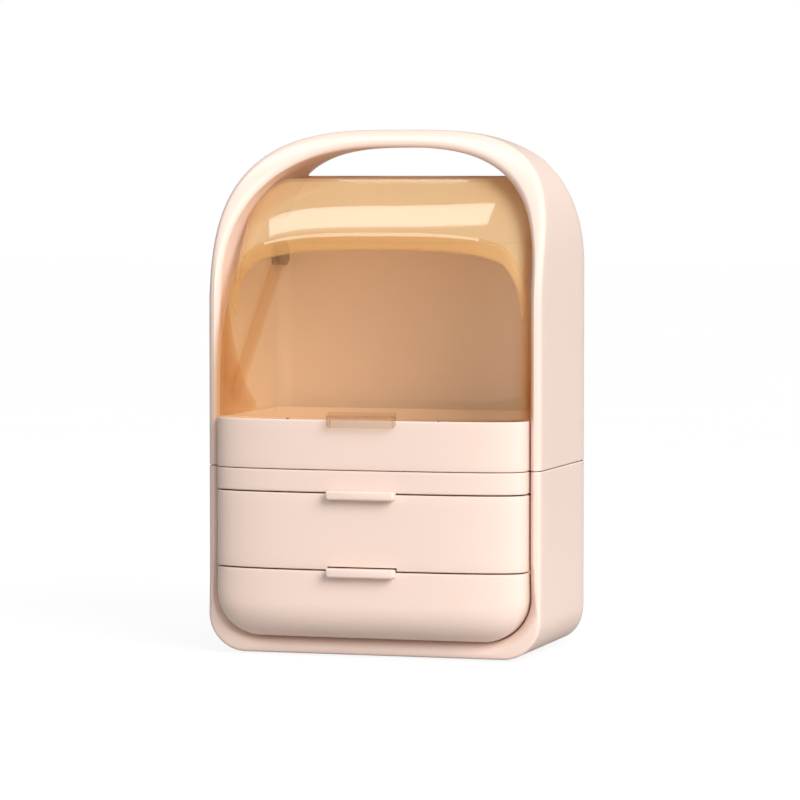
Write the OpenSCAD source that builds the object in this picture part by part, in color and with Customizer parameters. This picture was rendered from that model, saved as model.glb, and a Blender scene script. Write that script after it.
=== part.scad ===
// Makeup organizer with two drawers, an arch handle and a flip-up amber cover.
// Built in a working frame: X right, Y back from the front rim, Z up from the case bottom.
// place() then moves it so that the origin is under the middle of the object.

/* [Overall] */
// Width over the side walls
width = 266; // [262:1:270]
// Depth of the case from the front rim to the back
frame_depth = 164; // [162:1:168]
// Height of the case to the top of the handle
height = 404.5; // [402:0.5:408]
// Radius of the case's lower corners
corner_r = 30; // [28:1:44]
// Skin thickness of the two outer cases
skin = 3; // [2.5:0.1:3.2]
// Height of the rubber feet under the case
foot_h = 1.5; // [1:0.1:3]

/* [Front panels] */
// How far the front panels bulge forward of the rim
bulge = 27; // [22:1:32]
// Height of the parting line between the two cases
seam_z = 144.4; // [143:0.2:146]
// Height of the line over the upper drawer
rail_z = 126.9; // [125:0.2:128]
// Height of the line between the two drawers
mid_z = 67.6; // [66:0.2:69]
// Height of the tray wall
tray_top = 182.7; // [180:0.1:183]
// Width of the pull lips
lip_w = 54; // [44:1:64]
// How far the pull lips stand forward
lip_out = 8; // [6:0.5:8]

/* [Cover] */
// Height of the flat amber roof
roof_z = 366.5; // [365:0.1:367]
// Thickness of the amber sheet
amber_t = 2.5; // [2:0.1:2.5]
// Distance of the cover's hub behind the rim
hub_y = 138; // [137:0.5:139]
// Height of the cover's hub
hub_z = 306; // [305:0.5:307]
// Radius of the hub pin
pin_r = 4; // [3:0.1:5]

/* [Hidden] */
$fn = 48;
blush = "#f3d9cc";
amber = [0.86, 0.58, 0.30, 0.55];
rubber = "#8d8480";
steel = "silver";

hw = width / 2;             // outer half width
ihw = hw - 8.6;             // half width of the opening
ibz = 12.5;                 // height of the opening's bottom edge
irb = 36;                   // corner radius of the opening
azc = 280;                  // height where the inner arch springs
ab = 110.7;                 // rise of the inner arch
fhw = ihw - 0.8;            // half width of the front panels
bhw = ihw - 4;              // half width of the drawer boxes
rim_y = -(frame_depth - bulge - lip_out) / 2;
big = 400;
split_z = 292;              // height where the side liners meet the arch's liner

// ---- helpers ----
function arc(cx, cy, r, a0, a1, n) =
    [for (i = [0:n]) let (a = a0 + (a1 - a0) * i / n) [cx + r * cos(a), cy + r * sin(a)]];
function sgn(v) = v < 0 ? -1 : 1;
// half superellipse over the top, from the right end to the left end
function arch(a, zc, b, n, seg) =
    [for (i = [0:seg]) let (t = 180 * i / seg)
        [a * sgn(cos(t)) * pow(abs(cos(t)), 2 / n), zc + b * pow(abs(sin(t)), 2 / n)]];
// front outline: rounded bottom corners, straight sides, arched top
function outline(a, zb, rb, zc, b, n, seg = 36) = concat(
    arc(a - rb, zb + rb, rb, -90, 0, 8), arch(a, zc, b, n, seg),
    arc(-(a - rb), zb + rb, rb, 180, 270, 8));
function outer2d(d) = outline(hw - d, d, corner_r - d, 290, height - 290 - d, 3.2);
function inner2d(d) = outline(ihw + d, ibz - d, irb + d, azc, ab + d, 2.7);
// recession of the front edge and of the back edge towards the top
function front_y(z) = 72 * pow(max(0, (z - 270) / 134.5), 1.75);
function back_y(z) = frame_depth - 70 * pow(max(0, (z - 300) / 104.5), 1.8);
function side2d(d) = concat(
    arc(4 + d, 4 + d, 4, 270, 180, 4),
    [for (i = [0:14]) let (z = 270 + (height - 270 - d) * i / 14)
        [front_y(z) + d * (1 + 0.5 * i / 14), z]],
    [for (i = [8:-1:0]) let (z = 300 + (height - 300 - d) * i / 8)
        [back_y(z) - d * (1 + 0.7 * i / 8), z]],
    arc(frame_depth - 12 - d, 12 + d, 12, 0, -90, 5));
// plan of the case: small front radius, large back radius
function plan2d(d) = concat(
    arc(-(hw - d - 5), 5 + d, 5, 180, 270, 5), arc(hw - d - 5, 5 + d, 5, -90, 0, 5),
    arc(hw - 30, frame_depth - 30, 30 - d, 0, 90, 8),
    arc(-(hw - 30), frame_depth - 30, 30 - d, 90, 180, 8));
// bulged front edge of a panel, from the left end to the right end
function bow(a, b, n = 3, seg = 24) =
    [for (i = [0:seg]) let (t = 180 - 180 * i / seg)
        [a * sgn(cos(t)) * pow(abs(cos(t)), 2 / n), -b * pow(abs(sin(t)), 2 / n)]];

module place() { translate([0, rim_y, foot_h]) children(); }
module along_y(y0, y1) {
    translate([0, y1, 0]) rotate([90, 0, 0]) linear_extrude(height = y1 - y0) children();
}
module along_x(x0, x1) {
    translate([x0, 0, 0]) rotate([90, 0, 90]) linear_extrude(height = x1 - x0) children();
}
module along_z(z0, z1) { translate([0, 0, z0]) linear_extrude(height = z1 - z0) children(); }
module block(x0, x1, y0, y1, z0, z1) {
    translate([x0, y0, z0]) cube([x1 - x0, y1 - y0, z1 - z0]);
}
// body of the whole case, drawn in by d on every side
module case_body(d) {
    intersection() {
        along_y(-5, frame_depth + 5) polygon(outer2d(d));
        along_z(-5, height + 5) polygon(plan2d(d));
        along_x(-hw - 5, hw + 5) polygon(side2d(d));
    }
}
module ring_y(y0, y1, t) {
    along_y(y0, y1) difference() { polygon(inner2d(t)); polygon(inner2d(0)); }
}
// block with a bowed front, for panels and drawer boxes
module bowed(a, b, yb, z0, z1) {
    along_z(z0, z1) polygon(concat(bow(a, b), [[a, yb], [-a, yb]]));
}

// ---- outer cases ----
module lower_case() color(blush) place() {
    difference() {
        case_body(0);
        case_body(skin);
        block(-big, big, -big, big, seam_z - 0.3, big + 400);
        intersection() {
            along_y(-9, 30) polygon(inner2d(0));
            block(-big, big, -9, 30, 0, seam_z + 1);
        }
        for (x = [-48, 48], y = [32, 132]) {
            translate([x, y, -1]) cylinder(h = 9, r = 1.6);
            translate([x, y, -1]) cylinder(h = 2.2, r = 3.2);
        }
    }
    for (x = [-48, 48], y = [32, 132]) difference() {
        translate([x, y, skin]) cylinder(h = ibz - 2 - skin, r = 4.5);
        translate([x, y, 0]) cylinder(h = 20, r = 1.6);
    }
}
module upper_case() color(blush) place() {
    difference() {
        case_body(0);
        case_body(skin);
        block(-big, big, -big, big, -big, seam_z + 0.3);
        along_y(-9, 110) polygon(inner2d(0));
        intersection() {
            along_y(60, 190) polygon(inner2d(0));
            block(-big, big, 60, 190, 366, big + 100);
        }
    }
    // tongue that centres the lower case
    intersection() {
        difference() { case_body(skin); case_body(skin + 1.4); }
        block(-big, big, 12, 130, seam_z - 5, seam_z + 4);
    }
    // bridge between the tongue and the skin above the parting line
    intersection() {
        difference() { case_body(1); case_body(skin + 1.4); }
        block(-big, big, 12, 130, seam_z + 0.3, seam_z + 4);
    }
}

// ---- inner skins of the upper half ----
module handle_liner() color(blush) place() {
    difference() {
        union() {
            intersection() {
                ring_y(0, frame_depth, 2);
                case_body(skin);
                block(-big, big, -5, frame_depth, split_z, big + 100);
            }
            // bosses round the hub pins
            for (s = [0, 1]) mirror([s, 0, 0])
                translate([120.2, hub_y, hub_z]) rotate([0, 90, 0])
                    cylinder(h = ihw - 120.2, r = 9.5);
        }
        translate([-140, hub_y, hub_z]) rotate([0, 90, 0]) cylinder(h = 280, r = pin_r);
    }
}
module side_liner() {
    intersection() {
        block(ihw, ihw + 1.8, skin, 143, seam_z + 0.3, split_z);
        case_body(skin);
    }
}
module right_liner() color(blush) place() side_liner();
module left_liner() color(blush) place() mirror([1, 0, 0]) side_liner();
module inner_back_panel() color(blush) place() {
    along_z(seam_z + 0.3, split_z) difference() {
        polygon(concat(arc(ihw - 12, 143, 13.8, 0, 90, 6),
            arc(-(ihw - 12), 143, 13.8, 90, 180, 6)));
        polygon(concat([[ihw, 140]], arc(ihw - 12, 143, 12, 0, 90, 6),
            arc(-(ihw - 12), 143, 12, 90, 180, 6), [[-ihw, 140]]));
    }
    block(-100, 100, 155, 156.8, split_z, 314);
    block(-100, 100, 155, 157.7, 311, 314);
}

// ---- display compartment ----
module display_tray() color(blush) place() {
    difference() {
        bowed(fhw, bulge, 140, seam_z + 0.3, tray_top);
        bowed(fhw - 3, bulge - 3, 137, seam_z + 3.3, tray_top + 1);
    }
    // floor flanges that rest between the side walls
    for (s = [0, 1]) mirror([s, 0, 0])
        block(fhw - 1, ihw, 4, 140, seam_z + 0.3, seam_z + 3.3);
    block(-108, 108, 139, 155, seam_z + 0.3, seam_z + 3.3);
}
// front of the amber dome at height z, in the middle
function dome_y(z) = 1 - bulge + 84 * pow(max(0, (z - 184) / 182.5), 2.6);
ca = ihw - 2;                // half width of the amber cover
cd = 27;                     // depth of its rounded corners
// inner limit of the cover's sweep round the hub
function sweep_r(x) = 120 + 9.8 * pow(min(1, max(0, (abs(x) - 98) / 22)), 1.5);
function rad(d, z) = norm([hub_y - dome_y(z) - d - amber_t, z - hub_z]);
function top_z(x, d, lo = 184.5, hi = 352, k = 16) = k == 0 ? lo :
    let (m = (lo + hi) / 2) rad(d, m) > sweep_r(x) ? top_z(x, d, m, hi, k - 1)
                                                   : top_z(x, d, lo, m, k - 1);
// columns of the sheet: [x factor, setback, normal x, normal y]
function front_cols(a, dd, seg) = [for (i = [0:seg]) let (t = 180 - 180 * i / seg)
    [a * sgn(cos(t)) * pow(abs(cos(t)), 2 / 3), dd * (1 - pow(abs(sin(t)), 2 / 3))]];
module sheet(o, n) {
    // o and n are equal grids of points, outer and inner, rows upwards
    nr = len(o); nc = len(o[0]); m = nr * nc;
    polyhedron(points = concat([for (r = o) for (p = r) p], [for (r = n) for (p = r) p]),
        faces = concat(
            [for (i = [0:nr - 2], j = [0:nc - 2]) let (a = i * nc + j)
                each [[a, a + nc, a + nc + 1], [a, a + nc + 1, a + 1],
                      [m + a, m + a + nc + 1, m + a + nc], [m + a, m + a + 1, m + a + nc + 1]]],
            [for (j = [0:nc - 2]) each [[j, j + 1, m + j + 1], [j, m + j + 1, m + j]]],
            [for (j = [0:nc - 2]) let (a = (nr - 1) * nc + j)
                each [[a + 1, a, m + a], [a + 1, m + a, m + a + 1]]],
            [for (i = [0:nr - 2]) let (a = i * nc)
                each [[a + nc, a, m + a], [a + nc, m + a, m + a + nc]]],
            [for (i = [0:nr - 2]) let (a = i * nc + nc - 1)
                each [[a, a + nc, m + a + nc], [a, m + a + nc, m + a]]]),
        convexity = 8);
}
cover_side = [105, 94, 82, 68, 54, 42, 33];
module front_cover() color(amber) place() {
    cols = concat([for (d = cover_side) [-ca, d]], front_cols(ca, cd, 26),
                  [for (i = [len(cover_side) - 1:-1:0]) [ca, cover_side[i]]]);
    icols = concat([for (d = cover_side) [-(ca - amber_t), d]],
                   front_cols(ca - amber_t, cd - amber_t, 26),
                   [for (i = [len(cover_side) - 1:-1:0]) [ca - amber_t, cover_side[i]]]);
    nr = 14; nc = len(cols);
    tz = [for (c = cols) top_z(c[0], c[1])];
    sheet([for (i = [0:nr]) [for (j = [0:nc - 1])
              let (z = 184.2 + (tz[j] - 184.2) * i / nr) [cols[j][0], dome_y(z) + cols[j][1], z]]],
          [for (i = [0:nr]) [for (j = [0:nc - 1])
              let (z = 184.2 + (tz[j] - 184.2) * i / nr,
                   f = abs(icols[j][0]) > ca - amber_t - 0.01 ? 0 : amber_t)
              [icols[j][0], dome_y(z) + f + icols[j][1], z]]]);
}
function arch_z(x) = azc + ab * pow(1 - pow(min(1, abs(x) / ihw), 2.7), 1 / 2.7);
// rear edge of the roof, just inside the back wall at height z
function roof_end(z) = back_y(z) - skin * (1 + 0.7 * max(0, z - 300) / (104.5 - skin)) - 0.8;
module canopy() color(amber) place() {
    k = 5; a = ca - 5.5;
    cols = front_cols(a, cd - 2, 26);
    icols = front_cols(a - amber_t, cd - 2 - amber_t, 26);
    nc = len(cols); nf = 8; nb = 5;
    hi = [for (c = cols) min(roof_z, arch_z(c[0]) - 0.35)];
    lo = [for (j = [0:nc - 1]) min(hi[j] - 4, top_z(cols[j][0], cols[j][1]) - 12)];
    sheet(concat(
        [for (i = [0:nf]) [for (j = [0:nc - 1]) let (z = lo[j] + (hi[j] - lo[j]) * i / nf)
            [cols[j][0], dome_y(z) + k + cols[j][1], z]]],
        [for (i = [1:nb]) [for (j = [0:nc - 1]) let (y = dome_y(hi[j]) + k + cols[j][1])
            [cols[j][0], y + (roof_end(hi[j]) - y) * i / nb, hi[j]]]]),
        concat(
        [for (i = [0:nf]) [for (j = [0:nc - 1])
            let (z = lo[j] + (hi[j] - amber_t - lo[j]) * i / nf, zz = lo[j] + (hi[j] - lo[j]) * i / nf)
            [icols[j][0], dome_y(z) + k + amber_t * (1 + 0.3 * i / nf) + icols[j][1], z]]],
        [for (i = [1:nb]) [for (j = [0:nc - 1])
            let (y = dome_y(hi[j] - amber_t) + k + amber_t * 1.3 + icols[j][1])
            [icols[j][0], y + (roof_end(hi[j]) - y) * i / nb, hi[j] - amber_t]]]));
}
module pivot_cap() {
    translate([113.5, hub_y, hub_z]) rotate([0, 90, 0]) {
        cylinder(h = 3.7, r = 9.5);
        cylinder(h = ihw + 1.8 - 113.5, r = pin_r);
    }
}
module pivot_cap_right() color(blush) place() pivot_cap();
module pivot_cap_left() color(blush) place() mirror([1, 0, 0]) pivot_cap();

// ---- cover ----
arm_a = 47;                  // slope of the arms under the hub
module cover_arm() {
    x0 = ca - amber_t - 2.4;
    translate([x0, hub_y, hub_z]) rotate([0, 90, 0]) difference() {
        union() {
            cylinder(h = 2.4, r = 9.5);
            rotate([0, 0, 90 - arm_a]) translate([0, -152, 0]) translate([-9, 0, 0]) cube([18, 152, 2.4]);
            rotate([0, 0, 90 - arm_a]) translate([0, -152, 0]) cylinder(h = 2.4, r = 9);
        }
        translate([0, 0, -1]) cylinder(h = 6, r = pin_r + 0.05);
    }
}
module cover_arm_right() color(amber) place() cover_arm();
module cover_arm_left() color(amber) place() mirror([1, 0, 0]) cover_arm();
// hooked lip: flat top, front that hangs down, open underneath
module lip(z0, z1, y_back, y_front, t) {
    intersection() {
        along_y(y_front - 1, y_back + 8) polygon(concat(
            arc(-(lip_w / 2 - 3), z0 + 3, 3, 180, 270, 4), arc(lip_w / 2 - 3, z0 + 3, 3, -90, 0, 4),
            [[lip_w / 2, z1], [-lip_w / 2, z1]]));
        difference() {
            block(-lip_w / 2, lip_w / 2, y_front, y_back, z0, z1);
            block(-lip_w / 2 + t, lip_w / 2 - t, y_front + t, y_back + 1, z0 - 1, z1 - t);
        }
    }
}
module cover_pull() color([0.95, 0.88, 0.80, 0.6]) place() {
    lip(177.2, 186.4, -bulge - 0.4, -bulge - 6.5, 1.8);
    // tongue bonded to the foot of the cover
    block(-lip_w / 2, lip_w / 2, -bulge - 0.8, -bulge + 1.02, 184.3, 189);
}
module cover_pads() color(rubber) place()
    for (x = [-60, 60]) translate([x, -bulge + 2.6, tray_top]) cylinder(h = 1.1, r = 1.2);

// ---- drawer bay ----
module front_rail() color(blush) place() {
    difference() {
        bowed(fhw, bulge, 14, rail_z + 0.5, seam_z - 0.3);
        bowed(fhw - 3, bulge - 3, 11, rail_z - 1, seam_z - 3.3);
        block(-big, big, 3, 20, rail_z - 1, seam_z - 3.3);
    }
    // flange between the side walls of the drawer bay
    for (s = [0, 1]) mirror([s, 0, 0])
        block(fhw - 1, ihw, 3.2, 14, seam_z - 3.3, seam_z - 0.3);
}
module drawer_bay() color(blush) place() difference() {
    intersection() {
        ring_y(skin, 155, 2);
        case_body(skin);
        block(-big, big, 0, 155, 0, seam_z - 0.3);
    }
    for (x = [-48, 48], y = [32, 132]) translate([x, y, 9]) cylinder(h = 5, r = 1.5);
}
module bay_back_panel() color(blush) place() intersection() {
    case_body(skin);
    block(-130, 130, 155, 157, 4, seam_z - 0.3);
}
module drawer_shelf() color(blush) place() {
    block(-ihw, ihw, 5, 145, mid_z - 1.2, mid_z + 1.2);
    block(-110, 110, 144, 155, mid_z - 1.2, mid_z + 1.2);
    for (x = [-80, 80]) block(x - 3, x + 3, 8, 150, mid_z + 1.2, mid_z + 3.2);
}
module rails() {
    block(bhw + 0.8, ihw, 10, 145, 49, 57);
    block(bhw + 0.8, ihw, 10, 145, 95, 105);
    block(66, 72, 10, 150, ibz, ibz + 3.5);
}
module right_rails() color(blush) place() rails();
module left_rails() color(blush) place() mirror([1, 0, 0]) rails();
module drawer_buffers() color(rubber) place()
    for (x = [-70, 70], z = [40, 98]) translate([x, 155, z]) rotate([90, 0, 0])
        cylinder(h = 4.6, r = 4);
module feet() color(rubber) place()
    for (x = [-72, 72], y = [24, 140]) translate([x, y, -foot_h]) cylinder(h = foot_h, r = 8);
module case_screws() color(steel) place()
    for (x = [-48, 48], y = [32, 132]) translate([x, y, 0.3]) {
        difference() {
            cylinder(h = 0.9, r = 2.9);
            for (a = [0, 90]) rotate([0, 0, a]) translate([-1.8, -0.35, -1]) cube([3.6, 0.7, 1.4]);
        }
        cylinder(h = ibz - 0.5, r = 1.5);
    }

// ---- drawers ----
module upper_drawer_box() color(blush) place() difference() {
    bowed(bhw, bulge - 3, 150, mid_z + 3.5, 121);
    bowed(bhw - 2, bulge - 5, 148, mid_z + 5.5, 122);
}
module upper_drawer_front() color(blush) place() difference() {
    bowed(fhw, bulge, 3, mid_z + 0.5, rail_z - 0.5);
    bowed(bhw, bulge - 3, 9, mid_z + 3.5, rail_z);
    // room for the lip of the drawer below
    block(-lip_w / 2 - 0.6, lip_w / 2 + 0.6, -bulge - 1, 4, mid_z, mid_z + 4.4);
    root_pocket(rail_z);
}
module drawer_pull(z_line) {
    lip(z_line - 4.7, z_line + 2.2, -bulge - 0.4, -bulge - lip_out, 2.2);
    // root plate let into the panel, and the cheeks that carry the lip on it
    root(z_line);
    for (s = [0, 1]) mirror([s, 0, 0])
        block(lip_w / 2 - 2.2, lip_w / 2, -bulge - 1, -bulge + 0.5, z_line - 4.5, z_line - 0.6);
}
module root(z_line) {
    block(-lip_w / 2, lip_w / 2, -bulge, -bulge + 1.5, z_line - 4.5, z_line - 0.6);
}
module root_pocket(z_line) {
    block(-lip_w / 2, lip_w / 2, -bulge - 1, -bulge + 1.5, z_line - 4.5, z_line - 0.6);
}
module upper_drawer_pull() color(blush) place() drawer_pull(rail_z);
// block with the rounded bottom of the lower drawer
module lower_block(a, b, zb, rb, r, yb, z1) {
    intersection() {
        bowed(a, b, yb, zb - 1, z1);
        along_y(-60, 200) polygon(concat(arc(a - rb, zb + rb, rb, -90, 0, 8),
            [[a, z1 + 1], [-a, z1 + 1]], arc(-(a - rb), zb + rb, rb, 180, 270, 8)));
        along_x(-big, big) polygon(concat(arc(-b + r, zb + r, r, 180, 270, 8),
            [[yb + 1, zb], [yb + 1, z1 + 1], [-b, z1 + 1]]));
    }
}
module lower_drawer_box() color(blush) place() difference() {
    lower_block(bhw, bulge - 3, ibz + 3.8, 32, 25, 150, mid_z - 3.4);
    lower_block(bhw - 2, bulge - 5, ibz + 5.8, 30, 23, 148, mid_z + 2);
}
module lower_drawer_front() color(blush) place() difference() {
    lower_block(fhw, bulge, ibz + 0.8, 35.2, 28, 3, mid_z - 0.5);
    lower_block(bhw, bulge - 3, ibz + 3.8, 32, 25, 9, mid_z + 3);
    root_pocket(mid_z);
}
module lower_drawer_pull() color(blush) place() drawer_pull(mid_z);

lower_case();
upper_case();
handle_liner();
left_liner();
right_liner();
inner_back_panel();
display_tray();
canopy();
pivot_cap_left();
pivot_cap_right();
front_rail();
drawer_bay();
bay_back_panel();
drawer_shelf();
left_rails();
right_rails();
drawer_buffers();
cover_pads();
feet();
case_screws();
front_cover();
cover_arm_left();
cover_arm_right();
cover_pull();
upper_drawer_box();
upper_drawer_front();
upper_drawer_pull();
lower_drawer_box();
lower_drawer_front();
lower_drawer_pull();
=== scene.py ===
"""Looks of the makeup organizer: two-part blush case with an arch handle, two bowed
drawers, a display tray and an amber cover that flips up round two rear hubs.

Lengths below are millimetres in a working frame, X right, Y back from the front rim and
Z up from the bottom of the case. metres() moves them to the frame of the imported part."""

import math

import bmesh
import bpy
import numpy as np
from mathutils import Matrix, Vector


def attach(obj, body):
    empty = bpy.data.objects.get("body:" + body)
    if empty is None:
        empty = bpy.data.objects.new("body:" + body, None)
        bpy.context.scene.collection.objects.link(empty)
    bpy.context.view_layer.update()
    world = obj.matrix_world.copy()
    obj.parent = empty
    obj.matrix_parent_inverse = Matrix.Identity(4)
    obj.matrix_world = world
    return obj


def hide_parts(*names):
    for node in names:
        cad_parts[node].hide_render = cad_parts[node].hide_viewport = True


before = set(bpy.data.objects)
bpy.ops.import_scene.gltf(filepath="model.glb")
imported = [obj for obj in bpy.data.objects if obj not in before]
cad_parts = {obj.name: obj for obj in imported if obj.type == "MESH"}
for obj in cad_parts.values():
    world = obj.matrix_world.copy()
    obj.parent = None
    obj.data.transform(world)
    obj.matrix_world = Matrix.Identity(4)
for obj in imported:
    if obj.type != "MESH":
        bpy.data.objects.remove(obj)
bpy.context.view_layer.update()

# ---------------------------------------------------------------- camera
cam_data = bpy.data.cameras.new("camera")
cam_data.lens = 185.6
cam_data.sensor_width = 36.0
cam_data.clip_start = 0.05
cam_data.clip_end = 60.0
camera = bpy.data.objects.new("camera", cam_data)
bpy.context.scene.collection.objects.link(camera)
camera.location = (0.9168, -3.0844, 0.3699)
aim = Vector((0.0205, -0.0584, 0.1985))
camera.rotation_euler = (aim - camera.location).to_track_quat("-Z", "Y").to_euler()
bpy.context.scene.camera = camera

# ---------------------------------------------------------------- sizes
HW, DEPTH, HEIGHT, SKIN = 133.0, 164.0, 404.5, 3.0
BULGE, SEAM, RAIL, MID, TRAY = 27.0, 144.4, 126.9, 67.6, 182.7
LIP_W, LIP_OUT = 54.0, 8.0
ROOF, AMBER_T, HUB_Y, HUB_Z = 366.5, 2.5, 138.0, 306.0
IHW, IBZ, IRB, AZC, AB = 124.4, 12.5, 36.0, 280.0, 110.7
FHW, BHW, SPLIT = 123.6, 120.4, 292.0
CA, CD = 122.4, 27.0
RIM_Y, FOOT = -64.5, 1.5
N = 192                          # points round each outline of the case


def metres(p):
    return (np.asarray(p, float).reshape(-1, 3) + (0.0, RIM_Y, FOOT)) / 1000.0


def front_y(z):
    return 72.0 * np.maximum(0.0, (np.asarray(z, float) - 270.0) / 134.5) ** 1.75


def back_y(z):
    return DEPTH - 70.0 * np.maximum(0.0, (np.asarray(z, float) - 300.0) / 104.5) ** 1.8


def roof_end(z):
    """Rear edge of the amber roof, just inside the back wall."""
    z = np.asarray(z, float)
    return back_y(z) - SKIN * (1 + 0.7 * np.maximum(0, z - 300) / (104.5 - SKIN)) - 1.0


def dome_y(z):
    return 1 - BULGE + 84.0 * np.maximum(0.0, (np.asarray(z, float) - 184.0) / 182.5) ** 2.6


def arch_z(x):
    return AZC + AB * (1 - np.minimum(1.0, np.abs(x) / IHW) ** 2.7) ** (1 / 2.7)


def smooth01(v):
    v = np.clip(v, 0.0, 1.0)
    return v * v * (3 - 2 * v)


def even(pts, n):
    """n equal steps along a line of points."""
    pts = np.asarray(pts, float)
    s = np.concatenate([[0.0], np.cumsum(np.linalg.norm(np.diff(pts, axis=0), axis=1))])
    t = np.linspace(0.0, s[-1], n + 1)
    return np.stack([np.interp(t, s, pts[:, k]) for k in range(pts.shape[1])], 1)


def hyper(a, b, n, phi):
    c, s = np.cos(phi), np.sin(phi)
    r = (np.abs(c / a) ** n + np.abs(s / b) ** n) ** (-1.0 / n)
    return np.stack([r * c, r * s], 1)


def outline(a, zb, rb, zc, b, n):
    """Closed front outline from the middle of the bottom, right side first."""
    lin = lambda p, q, m: np.linspace(p, q, m + 1)[:-1]
    t = np.linspace(-math.pi / 2, 0, 17)
    corner = np.stack([a - rb + rb * np.cos(t), zb + rb + rb * np.sin(t)], 1)
    top = even(hyper(a, b, n, np.linspace(0, math.pi, 3001)), 104) + (0.0, zc)
    left = corner[::-1] * (-1, 1)
    return np.concatenate([
        lin((0, zb), (a - rb, zb), 10), corner[:-1], lin((a, zb + rb), (a, zc), 18), top[:-1],
        lin((-a, zc), (-a, zb + rb), 18), left[:-1], lin((-(a - rb), zb), (0, zb), 10)])


def outer2d(d):
    return outline(HW - d, d, 30 - d, 290.0, HEIGHT - 290 - d, 3.2)


def inner2d(d):
    return outline(IHW + d, IBZ - d, IRB + d, AZC, AB + d, 2.7)


def vary(fn, d):
    """Outline drawn in by an amount that differs from point to point."""
    d = np.broadcast_to(np.asarray(d, float), (N,))
    lo, hi = float(d.min()), float(d.max())
    if hi - lo < 1e-6:
        return fn(lo)
    grid = np.linspace(lo, hi, 9)
    stack = np.stack([fn(g) for g in grid])
    k = np.clip((d - lo) / (hi - lo) * 8, 0, 7.9999)
    i = k.astype(int)
    f = (k - i)[:, None]
    n = np.arange(len(d))
    return stack[i, n] * (1 - f) + stack[i + 1, n] * f


# ---------------------------------------------------------------- mesh helpers
def make(name, verts, faces, mat, body, *nodes, slot="blush_plastic", angle=38.0, weld=1e-6):
    """A named piece from points in millimetres, on its body, in place of its CAD nodes."""
    me = bpy.data.meshes.new(name)
    me.from_pydata(metres(verts).tolist(), [], [list(map(int, f)) for f in faces])
    bm = bmesh.new()
    bm.from_mesh(me)
    bmesh.ops.remove_doubles(bm, verts=bm.verts, dist=weld)
    bmesh.ops.dissolve_degenerate(bm, edges=bm.edges, dist=1e-7)
    bmesh.ops.recalc_face_normals(bm, faces=bm.faces)
    bm.to_mesh(me)
    bm.free()
    return finish_piece(name, me, mat, body, *nodes, slot=slot, angle=angle)


def finish_piece(name, me, mat, body, *nodes, slot="blush_plastic", angle=38.0):
    me.shade_smooth()
    me.set_sharp_from_angle(angle=math.radians(angle))
    me.materials.clear()
    me.materials.append(mat)
    ob = bpy.data.objects.new(name, me)
    bpy.context.scene.collection.objects.link(ob)
    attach(ob, body)
    if nodes:
        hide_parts(*nodes)
    return ob


def grid_faces(nr, nc, start=0, wrap_r=False, wrap_c=False):
    out = []
    for i in range(nr if wrap_r else nr - 1):
        for j in range(nc if wrap_c else nc - 1):
            i2, j2 = (i + 1) % nr, (j + 1) % nc
            out.append((start + i * nc + j, start + i * nc + j2, start + i2 * nc + j2, start + i2 * nc + j))
    return out


def quarter(n, a0=0.0, a1=90.0):
    return np.radians(np.linspace(a0, a1, n + 1))


def applied(me, *mods):
    """The mesh with modifiers carried out. mods are (type, settings)."""
    ob = bpy.data.objects.new("work", me)
    bpy.context.scene.collection.objects.link(ob)
    for kind, settings in mods:
        m = ob.modifiers.new(kind.lower(), kind)
        for key, value in settings.items():
            setattr(m, key, value)
    dg = bpy.context.evaluated_depsgraph_get()
    dg.update()
    out = bpy.data.meshes.new_from_object(ob.evaluated_get(dg))
    bpy.data.objects.remove(ob)
    return out


# ---------------------------------------------------------------- materials
def srgb(r, g, b):
    f = lambda c: c / 255 / 12.92 if c / 255 <= 0.04045 else ((c / 255 + 0.055) / 1.055) ** 2.4
    return (f(r), f(g), f(b), 1.0)


class Tree:
    def __init__(self, name):
        self.mat = bpy.data.materials.new(name)
        self.mat.use_nodes = True
        self.nt = self.mat.node_tree
        self.nt.nodes.clear()
        self.out = self.add("ShaderNodeOutputMaterial")
        self.coord = self.add("ShaderNodeTexCoord").outputs["Object"]

    def add(self, kind, **settings):
        n = self.nt.nodes.new(kind)
        for key, value in settings.items():
            setattr(n, key, value)
        return n

    def link(self, a, b):
        self.nt.links.new(a, b)

    def noise(self, scale, detail=3.0, rough=0.5, stretch=None):
        n = self.add("ShaderNodeTexNoise")
        n.inputs["Scale"].default_value = scale
        n.inputs["Detail"].default_value = detail
        n.inputs["Roughness"].default_value = rough
        src = self.coord
        if stretch is not None:
            m = self.add("ShaderNodeMapping")
            m.inputs["Scale"].default_value = stretch
            self.link(src, m.inputs["Vector"])
            src = m.outputs["Vector"]
        self.link(src, n.inputs["Vector"])
        return n.outputs["Fac"]

    def ramp(self, fac, lo, hi, a, b):
        """fac from lo to hi gives a colour or number from a to b."""
        if isinstance(a, tuple):
            r = self.add("ShaderNodeValToRGB")
            r.color_ramp.elements[0].position = lo
            r.color_ramp.elements[1].position = hi
            r.color_ramp.elements[0].color = a
            r.color_ramp.elements[1].color = b
            self.link(fac, r.inputs["Fac"])
            return r.outputs["Color"]
        r = self.add("ShaderNodeMapRange")
        r.inputs["From Min"].default_value = lo
        r.inputs["From Max"].default_value = hi
        r.inputs["To Min"].default_value = a
        r.inputs["To Max"].default_value = b
        self.link(fac, r.inputs["Value"])
        return r.outputs["Result"]

    def bump(self, height, strength, distance, normal=None):
        b = self.add("ShaderNodeBump")
        b.inputs["Strength"].default_value = strength
        b.inputs["Distance"].default_value = distance
        self.link(height, b.inputs["Height"])
        if normal is not None:
            self.link(normal, b.inputs["Normal"])
        return b.outputs["Normal"]


def scaled(c, k, warm=0.0):
    return (min(1, c[0] * k * (1 + warm)), min(1, c[1] * k), min(1, c[2] * k * (1 - warm)), 1.0)


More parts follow.
